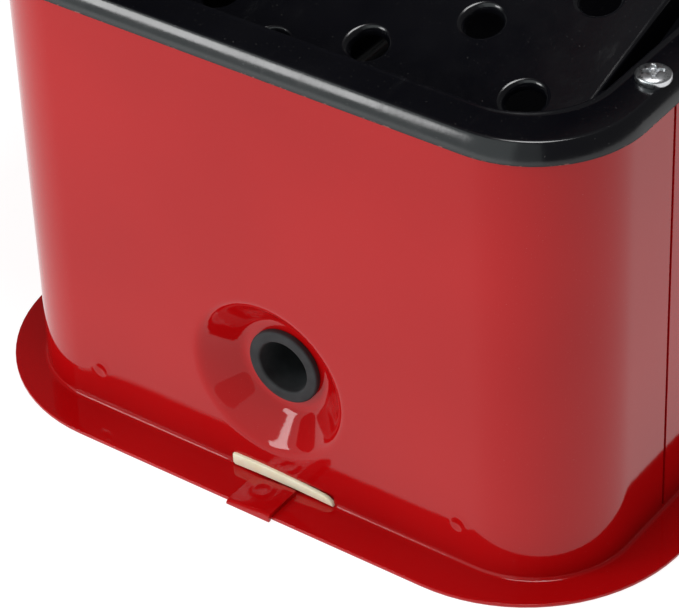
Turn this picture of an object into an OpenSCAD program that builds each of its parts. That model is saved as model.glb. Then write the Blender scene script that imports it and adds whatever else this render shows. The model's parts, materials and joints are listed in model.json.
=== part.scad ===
// Bench-top parts washer tank: a double-walled steel tank with a lid, a
// perforated shelf, a small pump and a swivelling spout.
// Origin: centre of the underside. +X towards the pump end, the drain is at -X,
// the front is at -Y and +Z is up. Millimetres.

/* [Casing] */
// Length of the painted casing
case_l = 450; // [420:5:500]
// Width of the painted casing
case_w = 250; // [240:2:280]
// Height of the casing from the base flange to the underside of the rim
case_h = 176; // [170:1:190]
// Outside radius of the casing's upright corners
corner_r = 38; // [34:1:44]
// Thickness of the painted sheet
sheet = 1.2; // [1:0.1:1.4]
// How far the base flange stands out past the casing
flange_w = 17; // [14:1:20]
// Corner radius of the base flange
flange_r = 66; // [50:1:70]
// Distance from the drain end to the lap seam
seam_x = 62; // [56:1:70]

/* [Tank] */
// How far the rim stands out past the casing
rim_out = 4; // [3:0.5:5]
// Distance from the casing's face to the rim's inner edge
rim_in = 14; // [14:0.5:18]
// Inside corner radius of the tank
tank_r = 30; // [26:1:34]
// Height of the rim's rolled edge
rim_h = 7.5; // [6.5:0.5:9]
// Height of the tank's floor above the bench
floor_z = 26; // [22:1:28]

/* [Drain] */
// Height of the drain above the base flange
drain_h = 45; // [43:1:50]
// Radius of the dish pressed into the drain end
dish_r = 33; // [31:1:36]
// Outside radius of the rubber bushing
bushing_r = 14.8; // [14:0.1:16]
// Radius of the drain bore
drain_r = 10.2; // [9:0.1:10.5]
// Depth of the bushing's face behind the casing
bushing_in = 9; // [8:0.5:10]

/* [Shelf] */
// Angle at which the shelf is propped
shelf_tilt = 17; // [12:1:18]
// Length of the shelf
shelf_l = 190; // [160:5:195]
// Distance between holes across the shelf
hole_pitch = 62; // [56:1:66]
// Distance between rows of holes
row_pitch = 24; // [22:1:28]
// Radius of the shelf's drain holes
hole_r = 6.5; // [5:0.5:7]

/* [Lid] */
// Height of the lid's inside above the rim
lid_room = 67; // [66:1:75]
// Angle at which the lid stands open
lid_open = 70; // [60:1:74]
// Length of the lid stay between its pivots
stay_l = 90; // [80:1:95]

/* [Hidden] */
$fn = 64;

fit = 0.05;              // radial clearance of a running pin
pan_t = 1.5;             // thickness of the base pan
skin = 1.2;              // thickness of the tank's sheet
rim_top = pan_t + case_h + rim_h;
rim_r = corner_r + rim_out;
drain_z = pan_t + drain_h;
end_x = -case_l / 2;
front_y = -case_w / 2;
back_y = case_w / 2;
lap = 12;

// lid frame: closed, before it is swung open about the hinge
hinge_y = back_y + 19;
hinge_z = rim_top - 4;
lid_t = 1;
lid_gap = 1.5;
lid_off = rim_out + lid_gap + lid_t;
lid_top = rim_top + lid_room + lid_t;
lid_low = hinge_z - 7;
hinge_at = [-140, 140];
screw_r = 2;
hinge_screw_x = 14;
hinge_screw_z = hinge_z - 35;
guide_screw_z = hinge_z - 43;

// lid stay: both pivots are stay_l from the lid's, so the arm swings back twice
// as fast as the lid and its pin stays in the slot at the hinge's height
stay_x = case_l / 2 + lid_off + 2;
arm_t = 2.4;
slot_near = 2 * stay_l * cos(lid_open);
slot_far = 2 * stay_l;

// shelf frame: pivot on the Y axis, plate level
pivot_x = end_x + 46;
pivot_z = 170.7;
shelf_near = -29;
shelf_corner = 26;
shelf_half = 103;
skirt_h = 12;
plate_t = 1.2;
plate_top = 3.1;
bracket_y = 106;

// pump
pump_x = 150;
pump_y = 50;
tank_floor = floor_z + skin;
riser_x = 90;
riser_y = 55;
spout_z = 238;
spout_reach = 122;
spout_bend = 14;
tube_r = 6;

// ---- shared shapes ----------------------------------------------------------

// Rectangle l by w with true round corners
module rounded(l, w, r) {
    square([l - 2 * r, w], center = true);
    square([l, w - 2 * r], center = true);
    for (x = [-1, 1], y = [-1, 1])
        translate([x * (l / 2 - r), y * (w / 2 - r)]) circle(r, $fn = 96);
}

// Casing outline moved outwards by off
module outline(off, r = corner_r) {
    rounded(case_l + 2 * off, case_w + 2 * off, r + off);
}

module block(off, z0, z1, r = corner_r) {
    translate([0, 0, z0]) linear_extrude(z1 - z0) outline(off, r);
}

module band(off, t, z0, z1, r = corner_r) {
    difference() {
        block(off, z0, z1, r);
        block(off - t, z0 - 1, z1 + 1, r);
    }
}

// Box from its lowest to its highest corner
module slab(lo, hi) {
    translate(lo) cube(hi - lo);
}

// Cylinder along an axis, from a to b on that axis, through the point at
module rod_x(r, a, b, y, z) {
    translate([a, y, z]) rotate([0, 90, 0]) cylinder(b - a, r, r);
}

module rod_y(r, a, b, x, z) {
    translate([x, a, z]) rotate([-90, 0, 0]) cylinder(b - a, r, r);
}

module rod_z(r, a, b, x, y) {
    translate([x, y, a]) cylinder(b - a, r, r);
}

// Pan-head screw pointing along -Z, its head's underside at the origin
module pan_screw(head_r, head_h, r, l) {
    flat_h = head_h * 0.45;
    difference() {
        union() {
            cylinder(flat_h, head_r, head_r);
            translate([0, 0, flat_h]) cylinder(head_h - flat_h, head_r, head_r * 0.62);
            translate([0, 0, -l]) cylinder(l, r, r);
        }
        for (a = [0, 90]) rotate([0, 0, a])
            slab([-head_r * 0.5, -0.6, head_h - 1.2], [head_r * 0.5, 0.6, head_h + 1]);
    }
}

// Swing a child made with the lid closed to the lid's open position
module swing_open() {
    translate([0, hinge_y, hinge_z]) rotate([-lid_open, 0, 0])
        translate([0, -hinge_y, -hinge_z]) children();
}

// Place a child made in the shelf's level frame
module on_shelf() {
    translate([pivot_x, 0, pivot_z]) rotate([0, -shelf_tilt, 0]) children();
}

// ---- casing -----------------------------------------------------------------

// Flat bottom with its wide flange and the upstand the walls are welded to
module base_pan() {
    color("firebrick") {
        linear_extrude(pan_t)
            rounded(case_l + 2 * flange_w, case_w + 2 * flange_w, flange_r);
        band(-sheet, pan_t, pan_t, 13);
    }
}

wall_low = pan_t;
wall_top = pan_t + case_h - 0.3;
strip_y = [-27.3, 18.5];
strip_h = 5.3;

// The casing's wall all the way round
module wall_sheet() {
    band(0, sheet, wall_low, wall_top);
}

// The dish reaches back to the tank, its foot flat against it
dish_depth = rim_in - skin - sheet;
dish_foot = 17.5;

flat_y = case_w / 2 - corner_r;

// Flat face of the drain end, with the dish
module end_panel() {
    color("firebrick") difference() {
        union() {
            difference() {
                slab([end_x, -flat_y, wall_low], [end_x + sheet, flat_y, wall_top]);
                rod_x(dish_r - 0.01, end_x - 5, end_x + 5, 0, drain_z);
            }
            translate([end_x, 0, drain_z]) rotate([0, 90, 0]) rotate_extrude($fn = 96)
                polygon([[dish_r, 0], [dish_r - 3, 1.2], [dish_foot + 3, dish_depth - 1.2],
                    [dish_foot, dish_depth], [bushing_r - 2.3, dish_depth],
                    [bushing_r - 2.3, dish_depth + sheet],
                    [dish_foot + 0.4, dish_depth + sheet], [dish_foot + 4, dish_depth - 0.2],
                    [dish_r - 2, 2.4], [dish_r, sheet]]);
        }
        slab([end_x - 1, strip_y[0], 0], [end_x + 3, strip_y[1], pan_t + strip_h]);
    }
}

// Both corners of the drain end, back to the lap seams
module corner_panels() {
    color("firebrick") difference() {
        wall_sheet();
        slab([end_x + seam_x, -case_w, -1], [case_l, case_w, 300]);
        slab([end_x - 1, -flat_y, -1], [end_x + seam_x, flat_y, 300]);
    }
}

// Front, pump end and back in one sheet, tucked behind the corners at both laps
module side_wrap() {
    color("firebrick") difference() {
        union() {
            difference() {
                wall_sheet();
                slab([-case_l, -case_w, -1], [end_x + seam_x + 0.8, case_w, 300]);
            }
            difference() {
                band(-sheet, sheet, 14, wall_top);
                slab([-case_l, -case_w, -1], [end_x + seam_x - lap, case_w, 300]);
                slab([end_x + seam_x + lap, -case_w, -1], [case_l, case_w, 300]);
            }
        }
        for (x = hinge_at, s = [-1, 1])
            rod_y(screw_r, back_y - 4, back_y + 1, x + s * hinge_screw_x, hinge_screw_z);
        for (y = guide_screw_y) rod_x(screw_r, -end_x - 4, -end_x + 1, y, guide_screw_z);
    }
}

// Cream seal strip tucked into the slot over the base flange
module seal_strip() {
    color("ivory") slab([end_x + 0.2, strip_y[0], pan_t], [end_x + 1.2, strip_y[1], pan_t + strip_h]);
}

// Folded tab over the base flange in front of the seal strip
module flange_clip() {
    color("firebrick") difference() {
        slab([end_x - flange_w - 2, -12, 0.2], [end_x - 2.4, 7, pan_t + 1.4]);
        slab([end_x - flange_w, -13, -1], [end_x, 8, pan_t]);
    }
}

// ---- tank -------------------------------------------------------------------

in_l = case_l - 2 * rim_in;
in_w = case_w - 2 * rim_in;
edge_r = 5;

module inner_block(grow, z0, z1) {
    translate([0, 0, z0]) linear_extrude(z1 - z0)
        rounded(in_l + 2 * grow, in_w + 2 * grow, tank_r + grow);
}

// Quarter-round roll of the rim's outer edge, swept round the tank
module rim_roll() {
    l = case_l / 2 - corner_r;
    w = case_w / 2 - corner_r;
    path_r = rim_r - edge_r;
    for (k = [[l, w, 0], [-l, w, 90], [-l, -w, 180], [l, -w, 270]])
        translate([k[0], k[1], rim_top - edge_r]) rotate([0, 0, k[2]])
            rotate_extrude(angle = 90, $fn = 96) translate([path_r, 0]) roll_section();
    for (k = [[0, 2 * w], [180, 2 * w]])
        rotate([0, 0, k[0]]) translate([l + path_r, w, rim_top - edge_r]) rotate([90, 0, 0])
            linear_extrude(k[1]) roll_section();
    for (k = [[90, 2 * l], [270, 2 * l]])
        rotate([0, 0, k[0]]) translate([w + path_r, l, rim_top - edge_r]) rotate([90, 0, 0])
            linear_extrude(k[1]) roll_section();
}

module roll_section() {
    intersection() {
        difference() {
            circle(edge_r, $fn = 48);
            circle(edge_r - skin, $fn = 48);
        }
        square(edge_r + 1);
    }
}

tank_flat_y = in_w / 2 - tank_r;

// Flat end of the inner tank, with the hole for the drain
module tank_end() {
    color("black") difference() {
        slab([-in_l / 2 - skin, -tank_flat_y, floor_z], [-in_l / 2, tank_flat_y, rim_top - skin]);
        rod_x(bushing_r - 2.3, end_x, end_x + 40, 0, drain_z);
    }
}

// Black inner tank: floor and the other walls
module tank_tub() {
    color("black") difference() {
        inner_block(skin, floor_z, rim_top - skin);
        inner_block(0, floor_z + skin, rim_top + 1);
        slab([end_x, -tank_flat_y, 0], [-in_l / 2, tank_flat_y, 300]);
    }
}

// Wide rim welded to the tank's walls, which covers the casing's edge
module tank_rim() {
    color("black") difference() {
        union() {
            difference() {
                block(rim_out - edge_r, rim_top - skin, rim_top);
                inner_block(0, rim_top - 5, rim_top + 1);
            }
            rim_roll();
            band(rim_out, skin, pan_t + case_h, rim_top - edge_r);
        }
        for (p = rim_screw_at) rod_z(3.2, rim_top - 10, rim_top + 5, p[0], p[1]);
    }
}

rim_screw_x = [end_x + 56, -end_x - 56];
rim_screw_y = case_w / 2 - 4.5;
rim_screw_at = [for (x = rim_screw_x, s = [-1, 1]) [x, s * rim_screw_y]];

module rim_screws() {
    color("silver") for (p = rim_screw_at)
        translate([p[0], p[1], rim_top]) rotate([0, 0, 20]) pan_screw(6.1, 3.4, 3, 7.4);
}

module rim_nuts() {
    color("dimgray") for (p = rim_screw_at) difference() {
        translate([p[0] - 5, p[1] - 4, rim_top - skin - 4.5]) cube([10, 7.4, 4.5]);
        rod_z(3, rim_top - 20, rim_top, p[0], p[1]);
    }
}

face_x = end_x + bushing_in;
web_x = end_x + dish_depth;

// Rubber bushing: outer flange, neck through both sheets, inner flange and sleeve
module drain_bushing() {
    color("black") difference() {
        union() {
            rod_x(bushing_r, face_x, web_x, 0, drain_z);
            rod_x(bushing_r - 2.3, web_x, web_x + sheet + skin, 0, drain_z);
            rod_x(bushing_r + 0.7, web_x + sheet + skin, web_x + 6.5, 0, drain_z);
            rod_x(drain_r + 2.6, web_x + 6.5, web_x + 15, 0, drain_z);
        }
        rod_x(drain_r, face_x - 1, web_x + 16, 0, drain_z);
    }
}

module drain_washer() {
    color("silver") difference() {
        rod_x(bushing_r + 0.5, web_x + 6.5, web_x + 8, 0, drain_z);
        rod_x(drain_r + 2.6, web_x + 6, web_x + 9, 0, drain_z);
    }
}

// ---- shelf ------------------------------------------------------------------

wall_y = in_w / 2;

// Bearing plates for the shelf's pins, cut to the tank's walls
module shelf_brackets() {
    past = wall_y + 5;
    color("dimgray") for (s = [-1, 1]) difference() {
        intersection() {
            inner_block(0, floor_z + 10, rim_top);
            union() {
                slab([pivot_x - 9, min(s * past, s * bracket_y), pivot_z - 14],
                    [pivot_x + 9, max(s * past, s * bracket_y), pivot_z]);
                rod_y(9, min(s * past, s * bracket_y), max(s * past, s * bracket_y), pivot_x, pivot_z);
            }
        }
        rod_y(3 + fit, -past, past, pivot_x, pivot_z);
    }
}

ledge_x = pivot_x + 140;
ledge_z = pivot_z + plate_top - skirt_h - 0.5;

// Ledges that carry the shelf's far end when it lies level
module shelf_ledges() {
    color("dimgray") for (s = [-1, 1]) {
        slab([ledge_x - 15, min(s * wall_y, s * (wall_y - 1.5)), ledge_z - 16],
            [ledge_x + 15, max(s * wall_y, s * (wall_y - 1.5)), ledge_z]);
        slab([ledge_x - 15, min(s * (wall_y - 1.5), s * 98), ledge_z - 1.5],
            [ledge_x + 15, max(s * (wall_y - 1.5), s * 98), ledge_z]);
    }
}

first_row = -5;
row_count = floor((shelf_near + shelf_l - 12 - first_row) / row_pitch) + 1;
near_y = -81.3;

// Holes in staggered rows, and one row of its own by the pivot
function row_holes(i) = let (y0 = near_y + (i % 2) * hole_pitch / 2)
    [for (k = [0 : 3]) if (y0 + k * hole_pitch < shelf_half - 12)
        [first_row + i * row_pitch, y0 + k * hole_pitch]];
shelf_holes = concat([for (k = [1.5, 2.5]) [first_row - 14, near_y + k * hole_pitch]],
    [for (i = [0 : row_count - 1]) each row_holes(i)]);

// Shelf outline pulled in by inset, with round corners at the drain end
module shelf_plan(inset) {
    r = shelf_corner - inset;
    near_x = shelf_near + inset;
    half = shelf_half - inset;
    translate([near_x + r, -half]) square([shelf_l - 2 * inset - r, 2 * half]);
    translate([near_x, -half + r]) square([r + 1, 2 * (half - r)]);
    for (s = [-1, 1]) translate([near_x + r, s * (half - r)]) circle(r, $fn = 96);
}

// Perforated plate with a skirt all round
module shelf() {
    color("black") on_shelf() difference() {
        union() {
            difference() {
                translate([0, 0, plate_top - skirt_h]) linear_extrude(skirt_h) shelf_plan(0);
                translate([0, 0, plate_top - skirt_h - 1]) linear_extrude(skirt_h + 1 - plate_t)
                    shelf_plan(plate_t);
            }
            for (h = shelf_holes)
                rod_z(hole_r + 1, plate_top - 3.4, plate_top, h[0], h[1]);
        }
        for (h = shelf_holes) rod_z(hole_r, -10, 10, h[0], h[1]);
    }
}

// Pins welded to the skirt's sides
module shelf_pins() {
    near = shelf_half;
    far = wall_y - 0.5;
    color("silver") on_shelf() for (s = [-1, 1])
        rod_y(3, min(s * near, s * far), max(s * near, s * far), 0, 0);
}

// ---- lid --------------------------------------------------------------------

module lid_shell() {
    color("firebrick") swing_open() difference() {
        block(lid_off, lid_low, lid_top);
        block(lid_off - lid_t, lid_low - 1, lid_top - lid_t);
        slab([-case_l, back_y - 7, lid_low - 1], [case_l, case_w, hinge_z + 2]);
        for (s = [-1, 1]) rod_y(screw_r, handle_y - 1, handle_y + 3, s * handle_half, handle_z);
    }
}

module lid_bumpers() {
    y = front_y - lid_off + lid_t;
    color("black") swing_open() for (x = [-90, 90])
        slab([x - 7, y, rim_top + 0.4], [x + 7, y + 13, rim_top + 10]);
}

handle_y = front_y - lid_off;
handle_z = rim_top + 34;
handle_half = 52;
grip_out = 24;

// Bow handle on the lid's front
module lid_handle() {
    color("black") swing_open() difference() {
        union() {
            for (s = [-1, 1]) rod_y(7, handle_y - grip_out, handle_y, s * handle_half, handle_z);
            rod_x(7, -handle_half, handle_half, handle_y - grip_out, handle_z);
            for (s = [-1, 1]) translate([s * handle_half, handle_y - grip_out, handle_z]) sphere(7);
        }
        for (s = [-1, 1]) rod_y(screw_r, handle_y - 12, handle_y + 1, s * handle_half, handle_z);
    }
}

module handle_screws() {
    color("silver") swing_open() for (s = [-1, 1])
        translate([s * handle_half, handle_y + lid_t, handle_z]) rotate([-90, 0, 0])
            pan_screw(4, 2.4, screw_r, 12);
}

knuckle_r = 4.5;
pin_r = 2;

// Fixed hinge leaves on the casing's back
module hinge_leaves() {
    leaf_z = hinge_z - 13;
    color("silver") for (x = hinge_at) difference() {
        union() {
            slab([x - 24, back_y, leaf_z - 34], [x + 24, back_y + 2, leaf_z]);
            slab([x - 24, back_y, leaf_z - 2], [x + 24, hinge_y + 1, leaf_z]);
            for (s = [-1, 1]) {
                slab([x + s * 17 - 6, hinge_y - 1, leaf_z - 2], [x + s * 17 + 6, hinge_y + 1, hinge_z - 1]);
                rod_x(knuckle_r, x + s * 17 - 6, x + s * 17 + 6, hinge_y, hinge_z);
            }
        }
        rod_x(pin_r, x - 40, x + 40, hinge_y, hinge_z);
        for (s = [-1, 1]) rod_y(screw_r, back_y - 1, back_y + 3, x + s * hinge_screw_x, hinge_screw_z);
    }
}

module hinge_pins() {
    color("silver") for (x = hinge_at) {
        rod_x(pin_r, x - 24, x + 24, hinge_y, hinge_z);
        rod_x(3.2, x + 24, x + 25.5, hinge_y, hinge_z);
    }
}

// Moving hinge leaves on the lid's back skirt
module lid_leaves() {
    skirt_y = back_y + lid_off;
    color("silver") swing_open() for (x = hinge_at) difference() {
        union() {
            rod_x(knuckle_r, x - 10.5, x + 10.5, hinge_y, hinge_z);
            slab([x - 10.5, skirt_y, hinge_z + 4], [x + 10.5, hinge_y, hinge_z + 6]);
            slab([x - 10.5, hinge_y - 2, hinge_z + 1], [x + 10.5, hinge_y, hinge_z + 6]);
            slab([x - 20, skirt_y, hinge_z + 4], [x + 20, skirt_y + 2, hinge_z + 38]);
        }
        rod_x(pin_r + fit, x - 40, x + 40, hinge_y, hinge_z);
    }
}

module hinge_screws() {
    color("silver") for (x = hinge_at, s = [-1, 1])
        translate([x + s * hinge_screw_x, back_y + 2, hinge_screw_z]) rotate([-90, 0, 0])
            pan_screw(3.8, 2.2, screw_r, 6);
}

module lid_rivets() {
    color("silver") swing_open() for (x = hinge_at, s = [-1, 1])
        rod_y(3, back_y + lid_off + 2, back_y + lid_off + 3.4, x + s * 13, hinge_z + 28);
}

// ---- lid stay ---------------------------------------------------------------

guide_x = stay_x + arm_t + 2;
guide_t = 2.4;
slot_half = 2.1;
guide_back = hinge_y - slot_near + 10;
guide_front = hinge_y - slot_far - 10;

// Slotted guide on the pump end, its slot level with the hinge
module stay_guide() {
    low = hinge_z - 34;
    color("silver") difference() {
        union() {
            slab([guide_x, guide_front, low], [guide_x + guide_t, guide_back, hinge_z + 9]);
            slab([-end_x, guide_front + 20, low], [guide_x + guide_t, guide_back - 20, low + guide_t]);
            slab([-end_x, guide_front + 20, low - 20], [-end_x + guide_t, guide_back - 20, low + guide_t]);
        }
        slab([guide_x - 1, hinge_y - slot_far, hinge_z - slot_half],
            [guide_x + guide_t + 1, hinge_y - slot_near, hinge_z + slot_half]);
        for (y = [slot_near, slot_far])
            rod_x(slot_half, guide_x - 1, guide_x + guide_t + 1, hinge_y - y, hinge_z);
        for (y = guide_screw_y) rod_x(screw_r, -end_x - 1, -end_x + 4, y, guide_screw_z);
    }
}

guide_screw_y = [guide_front + 30, guide_back - 30];

module guide_screws() {
    color("silver") for (y = guide_screw_y)
        translate([-end_x + guide_t, y, guide_screw_z]) rotate([0, 90, 0])
            pan_screw(3.8, 2.2, screw_r, 6);
}

// The arm is made along the direction from the lid's pivot to the slot
module along_stay() {
    translate([0, hinge_y - slot_near / 2, hinge_z + stay_l * sin(lid_open)])
        rotate([180 + lid_open, 0, 0]) children();
}

arm_half = 6;
link_gap = 9;

// Flat bar in the arm's frame, from a to b along -Z of travel (+Y here)
module arm_bar(a, b, x0, x1) {
    slab([x0, a, -arm_half], [x1, b, arm_half]);
}

module stay_arm_upper() {
    color("silver") along_stay() difference() {
        union() {
            rod_x(arm_half, stay_x, stay_x + arm_t, 0, 0);
            arm_bar(0, stay_l / 2 - link_gap, stay_x, stay_x + arm_t);
        }
        rod_x(2.5 + fit, stay_x - 1, stay_x + 5, 0, 0);
    }
}

module stay_arm_lower() {
    color("silver") along_stay() difference() {
        union() {
            rod_x(arm_half, stay_x, stay_x + arm_t, stay_l, 0);
            arm_bar(stay_l / 2 + link_gap, stay_l, stay_x, stay_x + arm_t);
        }
        rod_x(2, stay_x - 1, stay_x + 5, stay_l, 0);
    }
}

// Link of low-melting solder and brass that lets the lid drop shut in a fire
module fusible_link() {
    color("goldenrod") along_stay() {
        arm_bar(stay_l / 2 - link_gap, stay_l / 2 + link_gap, stay_x + 0.2, stay_x + arm_t - 0.2);
        arm_bar(stay_l / 2 - link_gap - 7, stay_l / 2 + link_gap + 7, stay_x + arm_t, stay_x + arm_t + 1);
    }
}

// Shouldered stud on the lid that carries the arm
module stay_stud() {
    lid_x = case_l / 2 + lid_off;
    color("silver") along_stay() {
        rod_x(5, lid_x, stay_x - 0.3, 0, 0);
        rod_x(2.5, stay_x - 0.3, stay_x + arm_t + 0.3, 0, 0);
        rod_x(4.6, stay_x + arm_t + 0.3, stay_x + arm_t + 1.4, 0, 0);
    }
}

module stay_pin() {
    color("silver") along_stay() {
        rod_x(2, stay_x, guide_x + guide_t + 0.5, stay_l, 0);
        rod_x(4.6, guide_x + guide_t + 0.5, guide_x + guide_t + 2.2, stay_l, 0);
    }
}

// ---- pump -------------------------------------------------------------------

strainer_top = tank_floor + 16;
cavity_z = [strainer_top + 2, strainer_top + 13];
volute_top = strainer_top + 15;
can_top = volute_top + 52;

module pump_feet() {
    color("black") for (a = [45 : 90 : 315])
        rod_z(6, tank_floor, tank_floor + 3, pump_x + 26 * cos(a), pump_y + 26 * sin(a));
}

// Slotted strainer skirt under the volute
module pump_strainer() {
    color("black") difference() {
        rod_z(36, tank_floor + 3, strainer_top, pump_x, pump_y);
        rod_z(20, tank_floor + 5, strainer_top + 1, pump_x, pump_y);
        translate([pump_x, pump_y, 0]) for (a = [0 : 30 : 150]) rotate([0, 0, a])
            slab([-40, -2, tank_floor + 6], [40, 2, strainer_top - 3]);
    }
}

module volute() {
    mid_z = (cavity_z[0] + cavity_z[1]) / 2;
    color("black") difference() {
        union() {
            rod_z(36, strainer_top, volute_top, pump_x, pump_y);
            rod_x(6.6, riser_x + 20, pump_x, riser_y, mid_z);
        }
        rod_z(23, cavity_z[0], cavity_z[1], pump_x, pump_y);
        rod_z(9, strainer_top - 1, cavity_z[0] + 1, pump_x, pump_y);
        rod_z(3.6, cavity_z[1] - 1, volute_top + 1, pump_x, pump_y);
        rod_x(4.5, riser_x + 19, pump_x - 18, riser_y, mid_z);
    }
}

module motor_can() {
    color("dimgray") difference() {
        rod_z(31, volute_top, can_top, pump_x, pump_y);
        rod_z(17, volute_top + 8, can_top - 8, pump_x, pump_y);
        rod_z(7, volute_top - 1, volute_top + 9, pump_x, pump_y);
        rod_z(7, can_top - 9, can_top + 1, pump_x, pump_y);
    }
}

module motor_cap() {
    color("black") {
        rod_z(33, can_top, can_top + 5, pump_x, pump_y);
        rod_z(14, can_top + 5, can_top + 9, pump_x, pump_y);
    }
}

module lower_bearing() {
    color("goldenrod") difference() {
        rod_z(7, volute_top, volute_top + 8, pump_x, pump_y);
        rod_z(3 + fit, volute_top - 1, volute_top + 9, pump_x, pump_y);
    }
}

module upper_bearing() {
    color("goldenrod") difference() {
        rod_z(7, can_top - 8, can_top - 1, pump_x, pump_y);
        rod_z(3 + fit, can_top - 9, can_top, pump_x, pump_y);
    }
}

module impeller() {
    color("white") difference() {
        union() {
            rod_z(20, cavity_z[0] + 1, cavity_z[0] + 3, pump_x, pump_y);
            rod_z(6, cavity_z[0] + 1, cavity_z[1] - 1, pump_x, pump_y);
            translate([pump_x, pump_y, 0]) for (a = [0 : 60 : 300]) rotate([0, 0, a])
                slab([4, -0.9, cavity_z[0] + 2], [20, 0.9, cavity_z[1] - 1.5]);
        }
        rod_z(3, cavity_z[0], cavity_z[1], pump_x, pump_y);
    }
}

module pump_shaft() {
    color("silver") rod_z(3, cavity_z[0] + 1, can_top - 1.5, pump_x, pump_y);
}

module rotor() {
    color("dimgray") difference() {
        rod_z(15, volute_top + 10, can_top - 10, pump_x, pump_y);
        rod_z(3, volute_top, can_top, pump_x, pump_y);
    }
}

pipe_z = (cavity_z[0] + cavity_z[1]) / 2;
elbow_r = 8.5;
riser_r = 7;
riser_low = pipe_z + 12;
socket_low = rim_top - 9;
socket_top = rim_top + 15;

module outlet_elbow() {
    color("black") difference() {
        union() {
            rod_x(elbow_r, riser_x, riser_x + 20, riser_y, pipe_z);
            rod_z(elbow_r, pipe_z, riser_low, riser_x, riser_y);
            translate([riser_x, riser_y, pipe_z]) sphere(elbow_r);
        }
        rod_x(4.5, riser_x, riser_x + 21, riser_y, pipe_z);
        rod_z(4.5, pipe_z, riser_low + 1, riser_x, riser_y);
    }
}

module riser_tube() {
    color("silver") difference() {
        rod_z(riser_r, riser_low, socket_low, riser_x, riser_y);
        rod_z(riser_r - 1.5, riser_low - 1, socket_low + 1, riser_x, riser_y);
    }
}

// Strap from the riser to the tank's back wall
module riser_bracket() {
    strap_z = [150, 162];
    color("silver") difference() {
        union() {
            rod_z(riser_r + 2, strap_z[0], strap_z[1], riser_x, riser_y);
            slab([riser_x - 1.5, riser_y, strap_z[0]], [riser_x + 1.5, wall_y - 2, strap_z[1]]);
            slab([riser_x - 12, wall_y - 2, strap_z[0]], [riser_x + 12, wall_y, strap_z[1]]);
        }
        rod_z(riser_r, 140, 170, riser_x, riser_y);
    }
}

socket_bore = tube_r + fit;

module spout_socket() {
    color("goldenrod") difference() {
        rod_z(10, socket_low, socket_top, riser_x, riser_y);
        rod_z(socket_bore, socket_low + 4, socket_top + 1, riser_x, riser_y);
        rod_z(riser_r - 2, socket_low - 1, socket_low + 5, riser_x, riser_y);
    }
}

// Bent spout: upright leg, quarter bend and a level reach over the shelf
module spout_tube() {
    bend_x = riser_x - spout_bend;
    color("silver") difference() {
        union() {
            rod_z(tube_r, socket_low + 5, spout_z - spout_bend, riser_x, riser_y);
            bend(tube_r);
            rod_x(tube_r, riser_x - spout_reach, bend_x, riser_y, spout_z);
        }
        rod_z(tube_r - 1.2, socket_low + 4, spout_z - spout_bend + 0.01, riser_x, riser_y);
        bend(tube_r - 1.2);
        rod_x(tube_r - 1.2, riser_x - spout_reach - 1, bend_x + 0.01, riser_y, spout_z);
    }
}

module bend(r) {
    translate([riser_x - spout_bend, riser_y, spout_z - spout_bend]) rotate([90, 0, 0])
        rotate_extrude(angle = 90, $fn = 64) translate([spout_bend, 0]) circle(r, $fn = 48);
}

module spout_nozzle() {
    tip_x = riser_x - spout_reach;
    color("black") difference() {
        union() {
            rod_x(8, tip_x - 8, tip_x + 12, riser_y, spout_z);
            rod_z(5.5, spout_z - 12.5, spout_z, tip_x - 1, riser_y);
        }
        rod_x(tube_r, tip_x, tip_x + 13, riser_y, spout_z);
        rod_z(3, spout_z - 14, spout_z, tip_x - 1, riser_y);
    }
}

module spout_seal() {
    color("black") difference() {
        rod_z(9, socket_top, socket_top + 2.5, riser_x, riser_y);
        rod_z(tube_r + 0.4, socket_top - 1, socket_top + 4, riser_x, riser_y);
    }
}

// ---- switch -----------------------------------------------------------------

switch_x = 150;
switch_z = 96;
box_out = 22;
box_y = front_y - box_out;
rock_tilt = 8;

module switch_box() {
    color("black") difference() {
        slab([switch_x - 26, box_y, switch_z - 32], [switch_x + 26, front_y, switch_z + 24]);
        slab([switch_x - 10.5, box_y - 1, switch_z - 16], [switch_x + 10.5, box_y + 14, switch_z + 16]);
        rod_x(1.5, switch_x - 14, switch_x + 14, box_y + 5, switch_z);
    }
}

// Rocker: a bar with a round back, tilted to off
module rocker() {
    color("red") translate([0, box_y + 5, switch_z]) rotate([rock_tilt, 0, 0]) difference() {
        union() {
            slab([switch_x - 9.8, -6, -13], [switch_x + 9.8, 1, 13]);
            rod_x(5, switch_x - 9.8, switch_x + 9.8, 1, 0);
        }
        rod_x(1.5 + fit, switch_x - 14, switch_x + 14, 0, 0);
    }
}

module rocker_pin() {
    color("silver") rod_x(1.5, switch_x - 14, switch_x + 14, box_y + 5, switch_z);
}

// Gland in the underside of the switch box for the supply lead
module cable_gland() {
    color("black") difference() {
        union() {
            rod_z(8, switch_z - 36, switch_z - 32, switch_x, front_y - 11);
            rod_z(6.5, switch_z - 46, switch_z - 36, switch_x, front_y - 11);
        }
        rod_z(3.6, switch_z - 47, switch_z - 33, switch_x, front_y - 11);
    }
}

base_pan();
end_panel();
corner_panels();
side_wrap();
seal_strip();
flange_clip();
tank_end();
tank_tub();
tank_rim();
drain_bushing();
drain_washer();
rim_screws();
rim_nuts();
shelf_brackets();
shelf_ledges();
shelf();
shelf_pins();
lid_shell();
lid_bumpers();
lid_handle();
handle_screws();
hinge_leaves();
hinge_pins();
lid_leaves();
hinge_screws();
lid_rivets();
stay_guide();
guide_screws();
stay_arm_upper();
stay_arm_lower();
fusible_link();
stay_stud();
stay_pin();
pump_feet();
pump_strainer();
volute();
motor_can();
motor_cap();
impeller();
pump_shaft();
rotor();
lower_bearing();
upper_bearing();
outlet_elbow();
riser_tube();
riser_bracket();
spout_socket();
spout_tube();
spout_nozzle();
spout_seal();
switch_box();
rocker();
rocker_pin();
cable_gland();
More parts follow.
